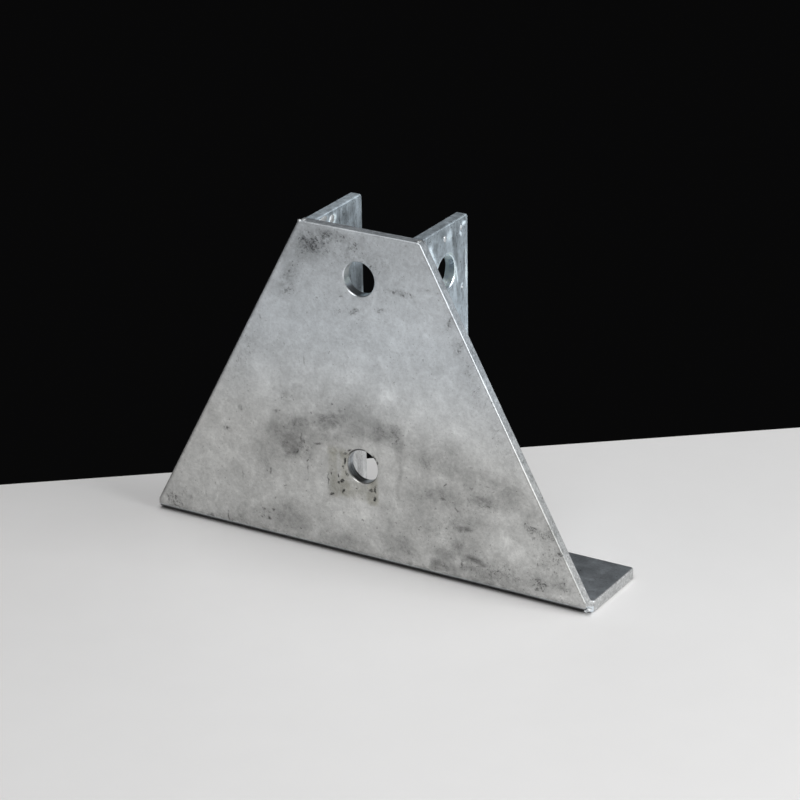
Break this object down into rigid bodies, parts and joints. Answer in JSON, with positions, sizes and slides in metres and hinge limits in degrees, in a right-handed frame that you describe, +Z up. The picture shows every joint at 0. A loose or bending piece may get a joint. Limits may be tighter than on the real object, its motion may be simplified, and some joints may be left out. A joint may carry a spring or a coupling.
{
  "type": "steel post bracket",
  "caption": "Galvanised steel post bracket: trapezoid face folded into a foot, with upright cheeks welded behind it and round bolt holes.",
  "frame": {"origin": "centre of the foot's underside, midway between its ends and between the front of the face and the rear edge", "axes": "+X along the foot, +Y from the face back to the rear edge, +Z up"},
  "size_m": [0.26, 0.05, 0.18],
  "materials": {
    "galvanised_plate": "hot-dip galvanised, matt, mottled",
    "galvanised_weld": "hot-dip galvanised over a rippled weld"
  },
  "bodies": {
    "root": {"folded_plate": "galvanised_plate", "left_cheek": "galvanised_plate", "right_cheek": "galvanised_plate", "left_weld": "galvanised_weld", "right_weld": "galvanised_weld"}
  },
  "joints": []
}
